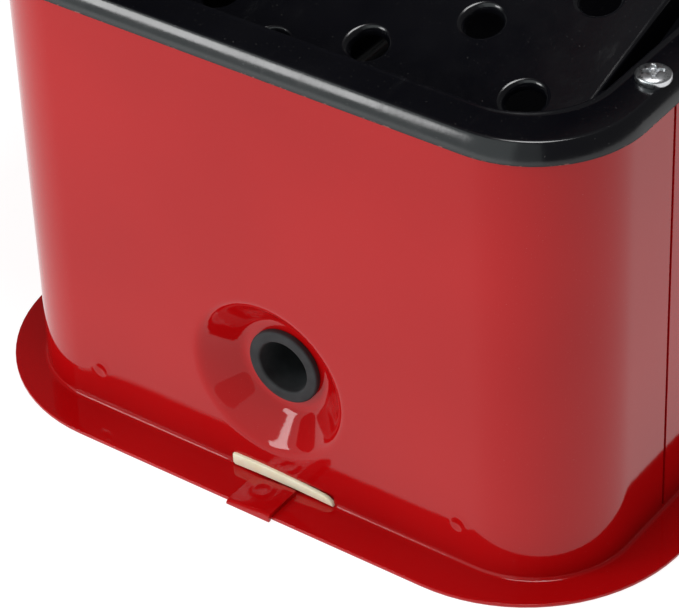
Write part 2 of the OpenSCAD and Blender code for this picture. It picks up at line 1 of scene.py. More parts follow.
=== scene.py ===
import json
import math

import bmesh
import bpy
from mathutils import Matrix, Vector
from mathutils.geometry import tessellate_polygon


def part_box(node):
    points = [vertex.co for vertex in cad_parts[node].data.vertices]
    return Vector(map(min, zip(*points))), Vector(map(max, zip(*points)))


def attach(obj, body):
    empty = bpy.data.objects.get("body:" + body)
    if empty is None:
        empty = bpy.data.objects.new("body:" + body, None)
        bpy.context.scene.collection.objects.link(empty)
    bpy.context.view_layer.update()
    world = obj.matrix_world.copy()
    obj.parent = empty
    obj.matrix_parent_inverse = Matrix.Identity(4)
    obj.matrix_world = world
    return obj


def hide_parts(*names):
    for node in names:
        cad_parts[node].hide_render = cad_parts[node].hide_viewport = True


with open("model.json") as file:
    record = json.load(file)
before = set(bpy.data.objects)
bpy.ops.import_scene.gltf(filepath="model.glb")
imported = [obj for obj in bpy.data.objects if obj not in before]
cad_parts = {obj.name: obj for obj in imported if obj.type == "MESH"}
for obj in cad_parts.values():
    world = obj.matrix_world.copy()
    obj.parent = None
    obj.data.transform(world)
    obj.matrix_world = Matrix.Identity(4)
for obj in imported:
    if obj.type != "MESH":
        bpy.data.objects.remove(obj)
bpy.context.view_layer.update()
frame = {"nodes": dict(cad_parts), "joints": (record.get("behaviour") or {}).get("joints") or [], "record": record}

MM = 0.001

# ---- sizes read from the frame ----------------------------------------------

PAN_LOW, PAN_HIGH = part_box("base_pan")
END_LOW, END_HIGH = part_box("corner_panels")
TANK_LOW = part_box("tank_tub")[0]
TANK_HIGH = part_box("tank_rim")[1]
BUSH_LOW, BUSH_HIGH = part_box("drain_bushing")
STRIP_LOW, STRIP_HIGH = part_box("seal_strip")
CLIP_LOW, CLIP_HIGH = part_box("flange_clip")
JOINTS = {joint["name"]: joint for joint in frame["joints"]}

HALF_L = -END_LOW.x                      # casing, half length
HALF_W = -END_LOW.y                      # casing, half width
SEAM_X = END_HIGH.x                      # lap seam on both long sides
WALL_LOW = END_LOW.z
WALL_HIGH = END_HIGH.z
RIM_TOP = TANK_HIGH.z
RIM_OUT = TANK_HIGH.x - HALF_L           # rim's overhang past the casing
DRAIN_Z = (BUSH_LOW.z + BUSH_HIGH.z) / 2

CORNER_R = 38 * MM
FLANGE_R = 66 * MM
RIM_IN = 14 * MM                         # casing face to the rim's inner edge
INNER_R = 30 * MM
SHEET = 1.2 * MM
PAN_T = 1.5 * MM
ROLL_R = 5 * MM
DISH_R = 33 * MM
DISH_FOOT = 17.5 * MM
DISH_DEPTH = 11.6 * MM

# ---- mesh helpers -----------------------------------------------------------


def make_object(name, verts, faces, material, smooth=True):
    """A mesh object in the row frame, with all its normals outwards."""
    mesh = bpy.data.meshes.new(name)
    mesh.from_pydata([tuple(v) for v in verts], [], faces)
    mesh.validate()
    bm = bmesh.new()
    bm.from_mesh(mesh)
    bmesh.ops.remove_doubles(bm, verts=bm.verts, dist=1e-7)
    bmesh.ops.recalc_face_normals(bm, faces=bm.faces)
    bm.to_mesh(mesh)
    bm.free()
    mesh.polygons.foreach_set("use_smooth", [smooth] * len(mesh.polygons))
    mesh.materials.append(material)
    obj = bpy.data.objects.new(name, mesh)
    bpy.context.scene.collection.objects.link(obj)
    return obj


def sharpen(obj, degrees=35):
    """Edges sharper than this stay crisp, the rest is shaded smooth."""
    mesh = obj.data
    mesh.polygons.foreach_set("use_smooth", [True] * len(mesh.polygons))
    mesh.set_sharp_from_angle(angle=math.radians(degrees))


def stations(low, high, coarse, fine=()):
    """Places from low to high, coarse apart, and closer inside each (centre, half, step)."""
    marks = {low, high}
    count = max(1, round((high - low) / coarse))
    for i in range(count + 1):
        at = low + (high - low) * i / count
        if all(abs(at - c) > h for c, h, _ in fine):
            marks.add(at)
    for c, h, step in fine:
        n = round(2 * h / step)
        for i in range(n + 1):
            at = c - h + 2 * h * i / n
            if low < at < high:
                marks.add(at)
    ordered = sorted(marks)
    kept = [ordered[0]]
    for at in ordered[1:]:
        if at - kept[-1] > 0.15 * MM:
            kept.append(at)
    return kept


def arc_path(cx, cy, r, start, end, count):
    """Points and outward normals round a corner, the angles in degrees."""
    out = []
    for i in range(count + 1):
        a = math.radians(start + (end - start) * i / count)
        out.append((cx + r * math.cos(a), cy + r * math.sin(a), math.cos(a), math.sin(a)))
    return out


def grid_shell(name, front, back, keep, material):
    """Closed sheet between two equal grids of points, without the cells that keep leaves out."""
    rows, cols = len(front), len(front[0])
    verts = [p for row in front for p in row] + [p for row in back for p in row]
    offset = rows * cols
    kept = {(i, j) for i in range(rows - 1) for j in range(cols - 1) if keep(i, j)}
    faces = []
    for i, j in sorted(kept):
        a, b = i * cols + j, i * cols + j + 1
        c, d = (i + 1) * cols + j + 1, (i + 1) * cols + j
        faces.append((a, b, c, d))
        faces.append((d + offset, c + offset, b + offset, a + offset))
        sides = {(i - 1, j): (a, b), (i, j + 1): (b, c), (i + 1, j): (c, d), (i, j - 1): (d, a)}
        for neighbour, (p, q) in sides.items():
            if neighbour not in kept:
                faces.append((q, p, p + offset, q + offset))
    return make_object(name, verts, faces, material)


def drain_steps():
    """Shares of the drain end's straight run, closer together at the seal strip's two ends."""
    run = HALF_W - CORNER_R
    places = stations(-run, run, 12 * MM, [(STRIP_LOW.y, 4 * MM, 1 * MM), (STRIP_HIGH.y, 4 * MM, 1 * MM)])
    return [(run - y) / (2 * run) for y in reversed(places)][1:-1]


def ring_loop(half_l, half_w, r, z, corner=20):
    """Closed loop round a rectangle with round corners; loops always have the same count."""
    even = [i / 14 for i in range(1, 14)]
    quarters = [(1, -1, 270, even), (1, 1, 0, even), (-1, 1, 90, drain_steps()), (-1, -1, 180, even)]
    points = []
    for n, (sx, sy, start, shares) in enumerate(quarters):
        cx, cy = sx * (half_l - r), sy * (half_w - r)
        for i in range(corner + 1):
            a = math.radians(start + 90 * i / corner)
            points.append(Vector((cx + r * math.cos(a), cy + r * math.sin(a), z)))
        nx, ny, nstart, _ = quarters[(n + 1) % 4]
        a = math.radians(nstart)
        end = Vector((nx * (half_l - r) + r * math.cos(a), ny * (half_w - r) + r * math.sin(a), z))
        begin = points[-1].copy()
        points.extend(begin.lerp(end, t) for t in shares)
    return points


def skin(loops, gap=None):
    """Vertices and faces over closed loops of equal length, with the two open ends capped.

    With no gap the loops run from one end to the other. With a gap they run down one side of a
    sheet and back up its other side, and loops gap - 1 and gap are the middles of the two sides.
    """
    n = len(loops[0])
    verts = [p for loop in loops for p in loop]
    faces = []
    for k in range(len(loops) - 1 if gap is None else len(loops)):
        if gap is not None and k == gap - 1:
            continue
        m = (k + 1) % len(loops)
        for i in range(n):
            j = (i + 1) % n
            faces.append((k * n + i, k * n + j, m * n + j, m * n + i))
    ends = (0, len(loops) - 1) if gap is None else (gap - 1, gap)
    for k in ends:
        faces.append(tuple(range(k * n, (k + 1) * n)))
    return verts, faces


def lathe(name, profile, material, steps=96):
    """Ring or rod turned from (x, radius) points about the drain's axis."""
    verts, faces = [], []
    n = len(profile)
    for k in range(steps):
        a = 2 * math.pi * k / steps
        verts.extend(Vector((x, r * math.cos(a), r * math.sin(a) + DRAIN_Z)) for x, r in profile)
    for k in range(steps):
        m = (k + 1) % steps
        for i in range(n):
            j = (i + 1) % n
            faces.append((k * n + i, k * n + j, m * n + j, m * n + i))
    return make_object(name, verts, faces, material)


def rounded_profile(points, radius, steps=5):
    """Closed outline with each corner replaced by an arc; radius is one number or one for each corner."""
    out = []
    count = len(points)
    for i, p in enumerate(points):
        before, after = Vector(points[i - 1]), Vector(points[(i + 1) % count])
        p = Vector(p)
        r = radius[i] if isinstance(radius, (list, tuple)) else radius
        if r <= 0:
            out.append(tuple(p))
            continue
        a, b = (before - p).normalized(), (after - p).normalized()
        angle = a.angle(b)
        cut = min(r / math.tan(angle / 2), 0.49 * (before - p).length, 0.49 * (after - p).length)
        r = cut * math.tan(angle / 2)
        centre = p + (a + b).normalized() * (r / math.sin(angle / 2))
        start, end = p + a * cut - centre, p + b * cut - centre
        sweep = start.angle(end)
        sign = 1 if start.x * end.y - start.y * end.x > 0 else -1
        for k in range(steps + 1):
            t = sign * sweep * k / steps
            c, s = math.cos(t), math.sin(t)
            out.append((centre.x + start.x * c - start.y * s, centre.y + start.x * s + start.y * c))
    return out


# ---- materials --------------------------------------------------------------


class Surface:
    """A Principled material whose colour, roughness and bump come from nodes in object space."""

    def __init__(self, name, colour, roughness, metallic=0.0, **sockets):
        self.material = bpy.data.materials.new(name)
        self.material.use_nodes = True
        self.tree = self.material.node_tree
        self.shader = self.tree.nodes["Principled BSDF"]
        self.shader.inputs["Base Color"].default_value = (*colour, 1)
        self.shader.inputs["Roughness"].default_value = roughness
        self.shader.inputs["Metallic"].default_value = metallic
        for key, value in sockets.items():
            self.shader.inputs[key.replace("_", " ")].default_value = value
        self.place = self.node("ShaderNodeTexCoord").outputs["Object"]

    def node(self, kind, inputs=None, **settings):
        made = self.tree.nodes.new(kind)
        for key, value in settings.items():
            setattr(made, key, value)
        for key, value in (inputs or {}).items():
            if isinstance(value, bpy.types.NodeSocket):
                self.tree.links.new(value, made.inputs[key])
            else:
                made.inputs[key].default_value = value
        return made

    def noise(self, scale, detail=3.0, rough=0.5, stretch=None):
        place = self.place
        if stretch:
            place = self.node("ShaderNodeMapping", {"Vector": place, "Scale": stretch}).outputs["Vector"]
        made = self.node("ShaderNodeTexNoise", {
            "Vector": place, "Scale": scale, "Detail": detail, "Roughness": rough})
        return made.outputs["Fac"]

    def ramp(self, value, low, high, out_low=0.0, out_high=1.0):
        made = self.node("ShaderNodeMapRange", {
            "Value": value, "From Min": low, "From Max": high, "To Min": out_low, "To Max": out_high})
        made.clamp = True
        return made.outputs["Result"]

    def mix(self, factor, a, b):
        made = self.node("ShaderNodeMix", data_type="RGBA")
        for socket, value in zip((made.inputs[0], made.inputs[6], made.inputs[7]), (factor, a, b)):
            if isinstance(value, bpy.types.NodeSocket):
                self.tree.links.new(value, socket)
            elif isinstance(value, tuple):
                socket.default_value = (*value, 1)
            else:
                socket.default_value = value
        return made.outputs[2]

    def math(self, operation, a, b=0.0):
        made = self.node("ShaderNodeMath", operation=operation)
        for k, value in enumerate((a, b)):
            if isinstance(value, bpy.types.NodeSocket):
                self.tree.links.new(value, made.inputs[k])
            else:
                made.inputs[k].default_value = value
        return made.outputs[0]

    def bump(self, height, distance, strength):
        inputs = {"Height": height, "Distance": distance, "Strength": strength}
        return self.node("ShaderNodeBump", inputs).outputs["Normal"]

    def set(self, key, socket):
        self.tree.links.new(socket, self.shader.inputs[key])


def red_paint():
    s = Surface("red_paint", (0.42, 0.004, 0.005), 0.5, Specular_IOR_Level=0.0, Coat_Weight=1.0,
                Coat_Roughness=0.06, Coat_IOR=1.365)
    patch = s.noise(9, 2)
    deep = s.mix(s.ramp(patch, 0.35, 0.65), (0.385, 0.001, 0.002), (0.425, 0.003, 0.004))
    dust = s.ramp(s.noise(2600, 1, 0.5), 0.74, 0.80)
    s.set("Base Color", s.mix(s.math("MULTIPLY", dust, 0.25), deep, (0.62, 0.30, 0.28)))
    peel = s.bump(s.noise(420, 2, 0.45), 0.00004, 0.5)
    s.set("Normal", peel)
    s.set("Coat Normal", s.bump(s.noise(260, 2, 0.4), 0.00003, 0.35))
    return s.material


def black_enamel(name, chipped_from=None):
    """Gloss enamel; chipped_from is the height where a thin band of edge chips starts."""
    s = Surface(name, (0.013, 0.013, 0.016), 0.22, Specular_IOR_Level=0.5)
    scuff = s.ramp(s.noise(30, 5, 0.7, (1, 3, 1)), 0.60, 0.72)
    rough = s.ramp(s.noise(60, 4, 0.6), 0.3, 0.7, 0.13, 0.22)
    rough = s.math("ADD", rough, s.math("MULTIPLY", scuff, 0.12))
    tone = s.mix(s.ramp(s.noise(14, 3), 0.35, 0.65), (0.0025, 0.0025, 0.004), (0.0045, 0.0045, 0.006))
    speck = s.ramp(s.noise(1500, 1, 0.5), 0.76, 0.80)
    tone = s.mix(s.math("MULTIPLY", speck, 0.35), tone, (0.20, 0.19, 0.18))
    if chipped_from is not None:
        height = s.node("ShaderNodeSeparateXYZ", {"Vector": s.place}).outputs["Z"]
        above = s.ramp(height, chipped_from - 0.4 * MM, chipped_from - 0.2 * MM)
        below = s.ramp(height, chipped_from + 0.2 * MM, chipped_from + 0.8 * MM, 1.0, 0.0)
        band = s.math("MULTIPLY", above, below)
        chips = s.ramp(s.noise(330, 4, 0.75), 0.57, 0.60)
        tone = s.mix(s.math("MULTIPLY", band, chips), tone, (0.30, 0.10, 0.08))
        rough = s.math("ADD", rough, s.math("MULTIPLY", band, 0.6))
    s.set("Roughness", rough)
    s.set("Base Color", tone)
    s.set("Normal", s.bump(s.noise(520, 2, 0.5), 0.00003, 0.6))
    return s.material


def black_rubber():
    s = Surface("black_rubber", (0.028, 0.030, 0.032), 0.72, Specular_IOR_Level=0.4)
    tone = s.mix(s.ramp(s.noise(180, 4), 0.3, 0.7), (0.014, 0.015, 0.017), (0.028, 0.030, 0.032))
    s.set("Base Color", tone)
    s.set("Normal", s.bump(s.noise(1900, 3, 0.6), 0.00008, 0.5))
    return s.material


def metal(name, colour, roughness, streak=(1, 1, 1), scale=900, depth=0.00003, spread=0.08):
    s = Surface(name, colour, roughness, metallic=1.0)
    grain = s.noise(scale, 4, 0.6, streak)
    s.set("Roughness", s.ramp(grain, 0.3, 0.7, roughness - spread, roughness + spread))
    s.set("Normal", s.bump(grain, depth, 0.35))
    darker = tuple(c * 0.86 for c in colour)
    s.set("Base Color", s.mix(s.ramp(s.noise(70, 3), 0.3, 0.7), colour, darker))
    return s.material


def plastic(name, colour, roughness, grain=1500, depth=0.00004):
    s = Surface(name, colour, roughness)
    s.set("Normal", s.bump(s.noise(grain, 3, 0.6), depth, 0.6))
    lighter = tuple(min(1.0, c * 1.25 + 0.002) for c in colour)
    s.set("Base Color", s.mix(s.ramp(s.noise(45, 4), 0.35, 0.7), colour, lighter))
    s.set("Roughness", s.ramp(s.noise(120, 3), 0.3, 0.7, roughness - 0.05, roughness + 0.07))
    return s.material


def ivory_foam():
    s = Surface("ivory_seal", (0.90, 0.84, 0.60), 0.7, Subsurface_Weight=0.1)
    tone = s.mix(s.ramp(s.noise(260, 4), 0.35, 0.7), (1.0, 0.93, 0.70), (0.95, 0.86, 0.60))
    s.set("Base Color", tone)
    s.set("Normal", s.bump(s.noise(2400, 3, 0.7), 0.0001, 0.6))
    return s.material


MATERIALS = {
    "red_paint": red_paint(),
    "black_enamel": black_enamel("black_enamel"),
    "black_rubber": black_rubber(),
    "ivory_seal": ivory_foam(),
    "zinc_steel": metal("zinc_steel", (0.66, 0.67, 0.69), 0.30),
    "brass": metal("brass", (0.74, 0.53, 0.24), 0.32),
    "chrome": metal("chrome", (0.86, 0.87, 0.88), 0.09, depth=0.00001, spread=0.03),
    "black_plastic": plastic("black_plastic", (0.022, 0.022, 0.025), 0.45),
    "motor_enamel": plastic("motor_enamel", (0.10, 0.11, 0.12), 0.38),
    "white_plastic": plastic("white_plastic", (0.80, 0.80, 0.76), 0.35),
    "red_plastic": plastic("red_plastic", (0.55, 0.02, 0.015), 0.28),
}
SLOT_OF = {row["node"]: row["material_slot"] for row in frame["record"]["subparts"]}
BODY_OF = {node: body for body, names in frame["record"]["behaviour"]["bodies"].items() for node in names}

for node, obj in frame["nodes"].items():
    obj.data.materials.clear()
    obj.data.materials.append(MATERIALS[SLOT_OF[node]])


def stand_in(obj, *nodes):
    """The piece replaces these CAD nodes, on the first one's body."""
    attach(obj, BODY_OF[nodes[0]])
    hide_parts(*nodes)
    return obj


def dress(node, width, segments):
    """Piece with the node's own shape, its flat faces joined and its edges really rounded."""
    mesh = frame["nodes"][node].data.copy()
    mesh.name = node + "_finished"
    bm = bmesh.new()
    bm.from_mesh(mesh)
    bmesh.ops.remove_doubles(bm, verts=bm.verts, dist=1e-6)
    bmesh.ops.dissolve_limit(bm, angle_limit=math.radians(0.4), verts=bm.verts, edges=bm.edges)
    bmesh.ops.recalc_face_normals(bm, faces=bm.faces)
    clean = bpy.data.meshes.new(node + "_finished")
    bm.to_mesh(clean)
    bm.free()
    bpy.data.meshes.remove(mesh)
    clean.materials.append(MATERIALS[SLOT_OF[node]])
    obj = bpy.data.objects.new(node + "_finished", clean)
    bpy.context.scene.collection.objects.link(obj)
    sharpen(obj, 50)
    bevel = obj.modifiers.new("round_edges", "BEVEL")
    bevel.width, bevel.segments = width, segments
    bevel.limit_method, bevel.angle_limit = "ANGLE", math.radians(32)
    bevel.use_clamp_overlap, bevel.harden_normals = True, True
    return stand_in(obj, node)


# ---- casing -----------------------------------------------------------------

WELD_Z = 18 * MM
WELD_R = 3 * MM
END_WELDS = (-80 * MM, 78 * MM)          # across the drain end
WRAP_WELDS = (60 * MM, 84 * MM)          # along the wrap: first from its edge, and pitch
SEAM_GAP = 1.5 * MM                      # between the corner panel's edge and the wrap's
LAP_DEPTH = 2.6 * MM                     # lap strip's face, in from the wall's
PANEL_HOLE_R = 11.2 * MM                 # drain holes in the end panel and the tank
TANK_HOLE_R = 12.4 * MM


def dish_depth(r):
    """Depth of the pressed dish at a radius: a round lip, a cone and a round foot."""
    t = (DISH_R - r) / (DISH_R - DISH_FOOT)
    if t <= 0:
        return 0.0
    if t >= 1:
        return DISH_DEPTH
    lip, foot = 0.22, 0.20               # shares of the run that are round
    slope = 1 / (1 - lip / 2 - foot / 2)
    if t < lip:
        return DISH_DEPTH * slope * t * t / (2 * lip)
    if t < 1 - foot:
        return DISH_DEPTH * slope * (t - lip / 2)
    return DISH_DEPTH * (1 - slope * (1 - t) ** 2 / (2 * foot))


def weld_dimple(distance):
    """Shallow spot-weld mark with a slightly raised rim."""
    t = distance / WELD_R
    if t > 1.6:
        return 0.0
    return 0.35 * MM * (math.exp(-2.5 * t * t) - 0.55 * math.exp(-8 * (t - 1) ** 2))


def wall_rows(fine_dish):
    """Heights of a wall's rows, closer together at the weld marks or over the whole dish."""
    fine = [(WELD_Z, 5 * MM, 0.8 * MM)]
    if fine_dish:
        fine = [(DRAIN_Z, DRAIN_Z - WALL_LOW - 0.5 * MM, 1.1 * MM)]
    return stations(WALL_LOW, WALL_HIGH, 4 * MM, fine)


def wall_piece(name, path, rows, dent, keep, *nodes):
    """Sheet-metal wall over a path and rows; dent gives how far a place is pushed in."""
    front, back = [], []
    for z in rows:
        outer, inner = [], []
        for x, y, nx, ny in path:
            d = dent(x, y, z)
            outer.append((x - nx * d, y - ny * d, z))
            inner.append((x - nx * (d + SHEET), y - ny * (d + SHEET), z))
        front.append(outer)
        back.append(inner)
    obj = grid_shell(name, front, back, keep, MATERIALS["red_paint"])
    sharpen(obj, 50)
    return stand_in(obj, *nodes)


def make_end_panel():
    """Drain end in one sheet: two corners back to the seams, dish, weld marks, and the strip's slot."""
    r = CORNER_R
    side = [SEAM_X - s for s in stations(0, SEAM_X + HALF_L - r, 3 * MM)]
    path = [(x, -HALF_W, 0, -1) for x in side]
    path += arc_path(-HALF_L + r, -HALF_W + r, r, 270, 180, 36)[1:]
    flat = stations(-HALF_W + r, HALF_W - r, 4 * MM,
                    [(0, DISH_R + 5 * MM, 1.1 * MM)] + [(y, 5 * MM, 0.8 * MM) for y in END_WELDS])
    path += [(-HALF_L, y, -1, 0) for y in flat[1:]]
    path += arc_path(-HALF_L + r, HALF_W - r, r, 180, 90, 36)[1:]
    path += [(x, HALF_W, 0, 1) for x in reversed(side)][1:]
    rows = wall_rows(True)

    def dent(x, y, z):
        if x > -HALF_L + 0.1 * MM:
            return 0.0
        d = dish_depth(math.hypot(y, z - DRAIN_Z))
        return d + sum(weld_dimple(math.hypot(y - w, z - WELD_Z)) for w in END_WELDS)

    def keep(i, j):
        corners = [(path[j + b], rows[i + a]) for a in (0, 1) for b in (0, 1)]
        if max(p[0] for p, _ in corners) > -HALF_L + 0.1 * MM:
            return True
        if min(math.hypot(p[1], z - DRAIN_Z) for p, z in corners) < PANEL_HOLE_R:
            return False
        y = sum(p[1] for p, _ in corners) / 4
        z = sum(z for _, z in corners) / 4
        inside = STRIP_LOW.y < y < STRIP_HIGH.y and z < STRIP_HIGH.z
        return not inside

    return wall_piece("drain_end_panel", path, rows, dent, keep, "end_panel", "corner_panels")


def make_side_wrap():
    """The other three walls in one sheet, and a lap strip behind each seam."""
    r = CORNER_R
    start = SEAM_X + SEAM_GAP
    first, pitch = WRAP_WELDS
    welds = [start + first + pitch * k for k in range(4)]
    run = stations(start, HALF_L - r, 5 * MM, [(w, 5 * MM, 0.8 * MM) for w in welds])
    path = [(x, HALF_W, 0, 1) for x in run]
    path += arc_path(HALF_L - r, HALF_W - r, r, 90, 0, 30)[1:]
    path += [(HALF_L, -y, 1, 0) for y in stations(-HALF_W + r, HALF_W - r, 5 * MM)][1:]
    path += arc_path(HALF_L - r, -HALF_W + r, r, 0, -90, 30)[1:]
    path += [(x, -HALF_W, 0, -1) for x in reversed(run)][1:]
    rows = wall_rows(False)

    def dent(x, y, z):
        if abs(abs(y) - HALF_W) > 0.1 * MM:
            return 0.0
        return sum(weld_dimple(math.hypot(x - w, z - WELD_Z)) for w in welds)

    wall_piece("side_wrap_skin", path, rows, dent, lambda i, j: True, "side_wrap")
    lap = [(x, HALF_W - LAP_DEPTH, 0, 1) for x in (start - 12 * MM, start + 8 * MM)]
    for s in (1, -1):
        strip = [(x, s * y, nx, s * ny) for x, y, nx, ny in lap]
        front = [[(x, y, z) for x, y, _, _ in strip] for z in (rows[0], rows[-1])]
        back = [[(x, y - ny * SHEET, z) for x, y, _, ny in strip] for z in (rows[0], rows[-1])]
        obj = grid_shell(f"lap_strip_{'back' if s > 0 else 'front'}", front, back, lambda i, j: True,
                         MATERIALS["red_paint"])
        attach(obj, "casing")


def make_base_pan():
    """Flat pan: rounded flange edge, top face and a fillet up the wall."""
    fl, fw = PAN_HIGH.x, PAN_HIGH.y
    fillet, edge = 1.5 * MM, 0.35 * MM
    loops = []

    def flange(inset, z):
        loops.append(ring_loop(fl - inset, fw - inset, FLANGE_R - inset, z))

    def wall(off, z):
        loops.append(ring_loop(HALF_L + off, HALF_W + off, CORNER_R + off, z))

    flange(3 * MM, 0)
    flange(0.5 * MM, 0)
    flange(0.15 * MM, 0.1 * MM)
    flange(0, 0.4 * MM)
    flange(0, PAN_T - edge)
    for k in range(1, 5):
        a = math.radians(90 * k / 4)
        flange(edge * (1 - math.cos(a)), PAN_T - edge + edge * math.sin(a))
    flange(2 * MM, PAN_T)
    wall(fillet + 1.5 * MM, PAN_T)
    for k in range(7):
        a = math.radians(90 * k / 6)
        wall(fillet - fillet * math.sin(a) + 0.02 * MM, PAN_T + fillet - fillet * math.cos(a))
    wall(-SHEET - 0.1 * MM, PAN_T + fillet)
    wall(-SHEET - 0.1 * MM, PAN_HIGH.z)
    wall(-SHEET - 1.6 * MM, PAN_HIGH.z)
    wall(-SHEET - 1.6 * MM, PAN_T)
    # the fillet is pressed nearly flat in front of the seal strip's slot
    for loop in loops:
        for p in loop:
            at_strip = STRIP_LOW.y - 0.6 * MM < p.y < STRIP_HIGH.y + 0.6 * MM
            if at_strip and PAN_T < p.z <= PAN_T + fillet and abs(p.x + HALF_L) < 5 * MM:
                p.z = PAN_T + 0.02 * (p.z - PAN_T)
    obj = make_object("base_pan_skin", *skin(loops), MATERIALS["red_paint"])
    sharpen(obj, 50)
    return stand_in(obj, "base_pan")


def cut_hole(obj, radius, span):
    """Round hole through the piece along X at the drain's height."""
    outline = [(span[0], 0.001 * MM), (span[0], radius), (span[1], radius), (span[1], 0.001 * MM)]
    cutter = lathe("cutter", outline, MATERIALS["black_enamel"], steps=64)
    made = obj.modifiers.new("hole", "BOOLEAN")
    made.object, made.operation, made.solver = cutter, "DIFFERENCE", "EXACT"
    bpy.context.view_layer.update()
    cut = bpy.data.meshes.new_from_object(obj.evaluated_get(bpy.context.evaluated_depsgraph_get()))
    obj.modifiers.clear()
    spare, obj.data = obj.data, cut
    bpy.data.meshes.remove(spare)
    bpy.data.objects.remove(cutter)


def make_tank():
    """Inner tank and rim: hem, side band, rolled edge, crowned top, inner edge, wall and floor."""
    ol, ow, orad = HALF_L + RIM_OUT, HALF_W + RIM_OUT, CORNER_R + RIM_OUT
    il, iw = HALF_L - RIM_IN, HALF_W - RIM_IN
    low, top, floor_top = WALL_HIGH + 0.3 * MM, RIM_TOP, TANK_LOW.z + SHEET
    loops = []

    def outer(inset, z):
        loops.append(ring_loop(ol - inset, ow - inset, orad - inset, z))

    def inner(grow, z):
        loops.append(ring_loop(il + grow, iw + grow, INNER_R + grow, z))

    # hem
    hem = 0.3 * MM
    outer(SHEET, low + hem)
    outer(SHEET - 0.2 * MM, low)
    outer(0.8 * MM, low)
    outer(0.35 * MM, low + 0.1 * MM)
    outer(0.1 * MM, low + 0.18 * MM)
    # side band, leaning in more and more, and the roll up to the top; leans in degrees
    leans = [12 + 2.6 * k for k in range(11)] + [48, 60, 72, 80, 86]
    runs = [1.0] * 11 + [0.45] * 5
    lift = sum(run * math.cos(math.radians(lean)) for lean, run in zip(leans, runs))
    unit = (top - low - hem) / lift
    inset, z = 0.0, low + hem
    outer(inset, z)
    for lean, run in zip(leans, runs):
        inset += unit * run * math.sin(math.radians(lean))
        z += unit * run * math.cos(math.radians(lean))
        outer(inset, z)
    # flat top, then a low bead round the inner edge
    edge, bead = 0.9 * MM, 0.36 * MM
    inner(edge + 2.2 * MM, top)
    inner(edge + 1.2 * MM, top - 0.02 * MM)
    inner(edge + 0.75 * MM, top + 0.12 * MM)
    inner(edge + 0.3 * MM, top + 0.3 * MM)
    for k in range(6):
        a = math.radians(90 * k / 5)
        inner(edge * (1 - math.sin(a)), top + bead - edge + edge * math.cos(a))
    # inner wall, foot and floor
    foot, floor_in = 6 * MM, 12 * MM
    inner(0, top - 12 * MM)
    inner(0, floor_top + foot)
    for k in range(1, 7):
        a = math.radians(90 * k / 6)
        inner(-foot * (1 - math.cos(a)), floor_top + foot - foot * math.sin(a))
    inner(-floor_in, floor_top)
    floor = len(loops)
    # the sheet's other side, back up to the hem
    inner(-floor_in, floor_top - SHEET)
    for k in range(6, -1, -1):
        a = math.radians(90 * k / 6)
        grow = -foot * (1 - math.cos(a)) + SHEET * math.cos(a)
        inner(grow, floor_top + foot - (foot + SHEET) * math.sin(a))
    inner(SHEET, top - SHEET - 3 * MM)
    inner(SHEET + 2 * MM, top - SHEET)
    outer(ROLL_R, top - SHEET)
    for k in range(4, -1, -1):
        a = math.radians(90 * k / 4)
        r = ROLL_R - SHEET
        outer(ROLL_R - r * math.cos(a), top - ROLL_R + r * math.sin(a))
    obj = make_object("tank_skin", *skin(loops, floor), black_enamel("rim_enamel", low))
    cut_hole(obj, TANK_HOLE_R, (-HALF_L + 5 * MM, -HALF_L + 40 * MM))
    sharpen(obj, 50)
    return stand_in(obj, "tank_rim", "tank_tub", "tank_end")


def make_bushing():
    """Rubber ring: its outer face, a groove for the sheets that it holds, a lip and a short neck."""
    face, neck_end = BUSH_LOW.x, BUSH_HIGH.x
    groove = -HALF_L + DISH_DEPTH + 0.001 * MM
    lip, lip_end = groove + 2.4 * MM, groove + 6.5 * MM
    lip_r = (BUSH_HIGH.z - BUSH_LOW.z) / 2
    r, bore = lip_r - 0.7 * MM, 10.2 * MM
    groove_r, neck_r = r - 2.3 * MM, bore + 2.6 * MM
    outline = [(face, bore), (face, r), (groove, r), (groove, groove_r), (lip, groove_r),
               (lip, lip_r), (lip_end, lip_r), (lip_end, neck_r), (neck_end, neck_r), (neck_end, bore)]
    rounding = [r_mm * MM for r_mm in (1.0, 0.9, 0.5, 0, 0, 0.6, 0.6, 0, 0.4, 0.4)]
    profile = rounded_profile(outline, rounding)
    obj = lathe("drain_bushing_rubber", profile, MATERIALS["black_rubber"])
    sharpen(obj, 50)
    return stand_in(obj, "drain_bushing")


def make_seal_strip():
    """Soft strip in the slot over the flange: arched along its top, square at one end, round at the other.

    A small dark gap of the slot stays open at its square end.
    """
    y0, y1 = STRIP_HIGH.y - 1.3 * MM, STRIP_LOW.y
    front, back = STRIP_LOW.x - 1.5 * MM, STRIP_LOW.x + 0.4 * MM
    edge = 0.5 * MM
    loops = []
    for k in range(41):
        t = k / 40
        y = y0 + (y1 - y0) * t
        top = 4.3 * MM + 1.3 * MM * math.sin(math.pi * min(1, 0.25 + 0.75 * t)) - 0.9 * MM * t
        end = max(0.0, (t - 0.9) / 0.1)
        top *= math.sqrt(max(0.02, 1 - 0.9 * end * end))
        start = 0.35 * MM if k == 0 else 0
        low = 0.4 * MM + 0.5 * MM * math.sin(math.pi * t) + start
        top -= start
        outline = [(front + start, low), (back, low), (back, top), (front + start, top)]
        section = rounded_profile(outline, edge, 3)
        loops.append([Vector((x, y, PAN_T + z)) for x, z in section])
    obj = make_object("seal_strip_foam", *skin(loops), MATERIALS["ivory_seal"])
    sharpen(obj, 60)
    return stand_in(obj, "seal_strip")


